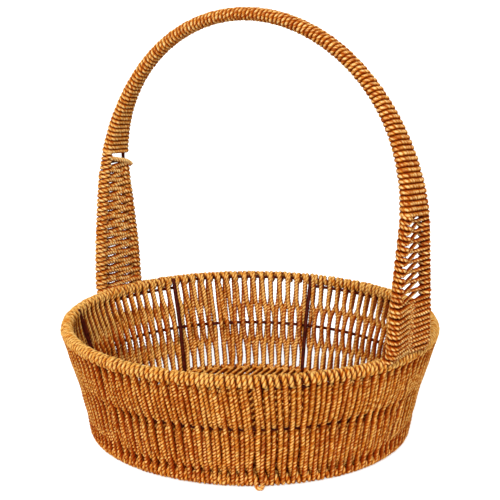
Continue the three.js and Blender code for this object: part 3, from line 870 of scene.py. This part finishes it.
# %% Bend the wires of the handle
FOOT_RADIUS, FOOT_HEIGHT = 135.98, 79.0
LINE_POINTS = 60
foot_start = math.sqrt(FOOT_RADIUS ** 2 - (SPREAD - HANDLE_WIRE) ** 2)


def half_line(side):
    line = [(foot_start, STAY_HEIGHT), (foot_start + 1.4, STAY_HEIGHT + 0.3)]
    line.append((leg_reach(FOOT_HEIGHT, side) - 0.6, STAY_HEIGHT + 1.2))
    line += [(leg_reach(z, side), z) for z in np.linspace(FOOT_HEIGHT, LEG_TOP[1], LINE_POINTS)]
    for turn in np.linspace(0, math.pi / 2, LINE_POINTS)[1:]:
        line.append((LEG_TOP[0] * math.cos(turn), LEG_TOP[1] + ARCH_RISE * math.sin(turn)))
    return line


whole_line = half_line(1) + [(-x, z) for x, z in reversed(half_line(-1)[:-1])]
for name, side in (("front_handle_wire", -1), ("rear_handle_wire", 1)):
    rod(name, [(x, side * half_spread(z), z) for x, z in whole_line], HANDLE_WIRE)
tie_half = half_spread(TIE_HEIGHT) - HANDLE_WIRE
for name, side in (("right_spreader", 1), ("left_spreader", -1)):
    tie_reach = side * leg_reach(TIE_HEIGHT)
    rod(name, [(tie_reach, y, TIE_HEIGHT) for y in np.linspace(-tie_half, tie_half, 5)], RING_WIRE)
print("points along a handle wire:", len(whole_line))

# %% [markdown]
# Each leg is laced: the cord turns one and a half times round one wire, crosses from behind it to the
# front of the other, turns there, and comes back, in figures of eight. The crossings leave two rows of
# small openings. Low on the right leg the cord only goes half round each time, and the lacing closes up.
# The left leg is laced from its own outer side, so its crossings lean the other way. They also bulge
# inwards, and the lacing ends in a few turns round one wire. Sizes are the cord's widths on the wires and
# at the crossings.

# %% Lace the legs
LACING = 0.92
WRAP = HANDLE_WIRE + 1.55
TOP_STEPS, TOP_RISE = 46, 3.6
RIGHT_TONE, LEFT_TONE = -0.8, 1.4


def round_wire(side, wire, turn, height):
    out = leg_reach(height, side) + WRAP * math.cos(turn)
    return side * out, side * (wire * half_spread(height) + WRAP * math.sin(turn)), height


def lace(side, low, high, turns, rise, cross_up, cross_down, bulge, sizes, jitter):
    points, widths, height = [], [], low
    steps = int(12 * turns)
    while height < high:
        for wire in (1, -1):
            start = height + luck.normal(0.0, jitter)
            for step in range(steps + 1):
                share = step / steps
                climb = np.interp(share, (0.0, 0.67, 1.0), (0.0, 0.58, 1.0)) if turns > 1 else share
                turn = wire * 2 * math.pi * turns * share
                points.append(round_wire(side, wire, turn, start + rise * climb))
                widths.append(sizes[0] if 0.1 < share < 0.9 else sizes[1])
            height += rise + (cross_up if wire < 0 else -cross_down)
            if bulge:
                middle = (start + rise + height) / 2
                for across in (0.45, 0.0, -0.45):
                    y = side * wire * across * half_spread(middle)
                    z = middle + across * (start + rise - height)
                    points.append((side * (leg_reach(middle, side) - bulge), y, z))
                    widths.append(sizes[1])
    return points, widths, height


right_low, low_widths, reached = lace(
    side=1, low=84.5, high=121.0, turns=0.5, rise=1.75, cross_up=2.5, cross_down=2.4,
    bulge=0.0, sizes=(LACING, LACING), jitter=0.25)
right_high, high_widths, reached = lace(
    side=1, low=reached, high=180.0, turns=1.5, rise=6.1, cross_up=1.4, cross_down=6.7,
    bulge=0.0, sizes=(0.9, 0.70), jitter=0.12)
left_low, left_widths, reached_left = lace(
    side=-1, low=80.0, high=180.0, turns=1.5, rise=5.50, cross_up=-1.55, cross_down=2.05,
    bulge=1.9, sizes=(1.06, 1.20), jitter=0.1)
left_top = []
for step in range(TOP_STEPS):
    left_top.append(round_wire(-1, 1, math.pi * step / 6, reached_left + TOP_RISE * step / 12))
print("lacing ends at", round(reached), "and", round(reached_left), "mm")
upright = np.array([0.0, 0.0, 1.0])
laced = {
    "right_leg_lacing": (right_low + right_high, low_widths + high_widths, RIGHT_TONE),
    "left_leg_lacing": (left_low + left_top, left_widths + [LACING] * len(left_top), LEFT_TONE),
}
for name, (points, sizes, tone) in laced.items():
    path = eased(points, STEP, 2)
    width = [carried(points, sizes, len(path))]
    tones = [np.full(len(path), tone)]
    cord_piece(name + "_cord", [path], handle_yarn, "handle_cord", [name], [upright], width, tones)

# %% [markdown]
# The grip is wound close, turn against turn, round both wires from one leg over the top to the other. The
# turns are flat loops that narrow as the wires come together. Its cord lies flatter than the rest, and
# its tone changes along the arch: a little darker up to the top, then paler down to the left end.

# %% Wind the grip
GRIP_PITCH, GRIP_POINTS, GRIP_WIDTH = 3.62, 30, 0.97
GRIP_RIGHT, GRIP_LEFT = TIE_HEIGHT - 5.0, TIE_HEIGHT + 8.0
ARCH_POINTS = 1500
LOOK_AHEAD = 0.5


def arch_points(right_start, left_start):
    first, last = (math.asin((start - LEG_TOP[1]) / ARCH_RISE) for start in (right_start, left_start))
    angles = np.linspace(first, math.pi - last, ARCH_POINTS)
    heights = LEG_TOP[1] + ARCH_RISE * np.sin(angles)
    return np.stack([LEG_TOP[0] * np.cos(angles), 0 * angles, heights], axis=1)


def flat_loop(share, half, reach):
    straight, bend = 2 * half, math.pi * reach
    run = (share % 1.0) * 2 * (straight + bend)
    if run < straight:
        return half - run, reach
    run -= straight
    if run < bend:
        turn = run / reach
        return -half - reach * math.sin(turn), reach * math.cos(turn)
    run -= bend
    if run < straight:
        return -half + run, -reach
    turn = (run - straight) / reach
    return half + reach * math.sin(turn), -reach * math.cos(turn)


line = arch_points(GRIP_RIGHT, GRIP_LEFT)
run = run_along(line)
turns = int(run[-1] / GRIP_PITCH)
steps = turns * GRIP_POINTS
grip, headings = [], []
for step in range(steps + 1):
    where = run[-1] * step / steps
    spot = np.array([np.interp(where, run, line[:, i]) for i in range(3)])
    if step < steps:
        ahead = np.array([np.interp(where + LOOK_AHEAD, run, line[:, i]) for i in range(3)])
        heading = (ahead - spot) / np.linalg.norm(ahead - spot)
    normal = np.array([heading[2], 0.0, -heading[0]])
    y, out = flat_loop(step / GRIP_POINTS, half_spread(spot[2]), WRAP)
    grip.append(spot + np.array([0.0, y, 0.0]) + out * normal)
    headings.append(heading)
path = eased(grip, STEP, 1)
beside = np.stack([carried(grip, np.array(headings)[:, i], len(path)) for i in range(3)], axis=1)
grip_tone = np.interp(np.linspace(0, 1, len(path)), (0, 0.45, 1), (-0.6, -1.4, 2.2))
cord_piece(
    "grip_cord", [path], handle_yarn, "handle_cord", ["grip_winding"], [beside],
    width=GRIP_WIDTH, tones=[grip_tone], tight=True)
print("turns on the grip:", turns)

# %% [markdown]
# Two cord ends show. Under the front of the wall an end is knotted into a small loop. At the left tie the
# lacing ends: the cord crosses from one wire to the other and its end sticks out behind. Each is drawn as
# one short length of cord.

# %% Finish the two cord ends
KNOT_STEP, WALL_KNOT_WIDTH = 0.7, 0.85
END_RISE = 4

low, high = (np.array(corner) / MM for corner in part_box("wall_knot"))
knot = (low + high) / 2
turn = math.atan2(knot[1], knot[0])
loop = [(-2.0, 117.0, 4.4), (-2.2, 122.6, 2.6), (-1.1, 124.6, 1.9)]
loop += [(-side, r, z) for side, r, z in reversed(loop)]
path = eased([polar(r, turn + side / r, z) for side, r, z in loop], KNOT_STEP, 2)
cord_piece("wall_knot_cord", [path], wall_yarn, "wall_cord", ["wall_knot"], [np.zeros(3)], WALL_KNOT_WIDTH)

tie = half_spread(TIE_HEIGHT + END_RISE)
inner = WRAP - leg_reach(TIE_HEIGHT + END_RISE)
end = [
    (inner - 3.0, -tie - 1.0, 4.4), (inner, -tie + 2.0, 3.6), (inner + 0.8, 0.0, 1.8),
    (inner + 0.6, tie, -0.4), (inner - 0.8, tie + 4.5, -2.4), (inner - 1.6, tie + 7.0, -4.0)]
path = eased([(x, y, TIE_HEIGHT + z) for x, y, z in end], KNOT_STEP, 2)
cord_piece("handle_knot_cord", [path], handle_yarn, "handle_cord", ["handle_knot"], [0.5 * upright], 1.0)
print("wall knot at", knot.round(1), "handle end at", np.round(path[-1], 1))

# %% [markdown]
# The floor is a plain pale sheet. For the camera alone it also glows a little, so that it looks white
# without throwing more light up at the basket.

# %% Studio floor
SHEET_HALF, SHEET_DROP = 40.0, 0.0002

floor_mesh = bpy.data.meshes.new("studio_floor")
sheet = bmesh.new()
bmesh.ops.create_grid(sheet, x_segments=1, y_segments=1, size=SHEET_HALF)
sheet.to_mesh(floor_mesh)
sheet.free()
studio_floor = bpy.data.objects.new("studio_floor", floor_mesh)
studio_floor.location.z = -SHEET_DROP
bpy.context.scene.collection.objects.link(studio_floor)
paper = bpy.data.materials.new("studio_paper")
paper.use_nodes = True
paper_shader = paper.node_tree.nodes["Principled BSDF"]
paper_shader.inputs["Base Color"].default_value = (0.85, 0.85, 0.85, 1)
paper_shader.inputs["Roughness"].default_value = 0.9
paper_shader.inputs["Emission Color"].default_value = (0.6, 0.6, 0.6, 1)
paper_seen = paper.node_tree.nodes.new("ShaderNodeLightPath")
link_up(paper.node_tree, (paper_seen.outputs["Is Camera Ray"], paper_shader.inputs["Emission Strength"]))
floor_mesh.materials.append(paper)
print("floor sheet reaches", SHEET_HALF, "m each way")

# %% [markdown]
# One large soft lamp is the key. It stands high, near the camera's side and a little to its left. A
# bright surround keeps the shadows open, as in a white studio, and the camera sees a plain pale backdrop
# instead.

# %% Studio light
def soft_sun(name, direction, strength, spread, tint):
    data = bpy.data.lights.new(name, "SUN")
    data.energy = strength
    data.angle = math.radians(spread)
    data.color = tint
    lamp = bpy.data.objects.new(name, data)
    lamp.location = Vector(direction)
    lamp.rotation_euler = (-Vector(direction)).to_track_quat("-Z", "Y").to_euler()
    bpy.context.scene.collection.objects.link(lamp)


soft_sun("key_light", direction=(0.46, -0.78, 0.66), strength=3.12, spread=35.0, tint=(1.0, 0.98, 0.95))
world = bpy.data.worlds.new("studio_surround")
world.use_nodes = True
sky = world.node_tree
surround = sky.nodes["Background"]
surround.inputs["Color"].default_value = (1.0, 1.0, 1.0, 1)
surround.inputs["Strength"].default_value = 0.53
backdrop = sky.nodes.new("ShaderNodeBackground")
backdrop.inputs["Strength"].default_value = 1.0
seen = sky.nodes.new("ShaderNodeLightPath")
either = sky.nodes.new("ShaderNodeMixShader")
link_up(
    sky,
    (seen.outputs["Is Camera Ray"], either.inputs["Fac"]),
    (surround.outputs["Background"], either.inputs[1]),
    (backdrop.outputs["Background"], either.inputs[2]),
    (either.outputs["Shader"], sky.nodes["World Output"].inputs["Surface"]),
)
bpy.context.scene.world = world
bpy.context.scene.view_settings.view_transform = "Standard"

# %% Clear up the outline shapes
for shape in (cord_outline, flat_outline, wire_outline):
    bpy.data.objects.remove(shape)
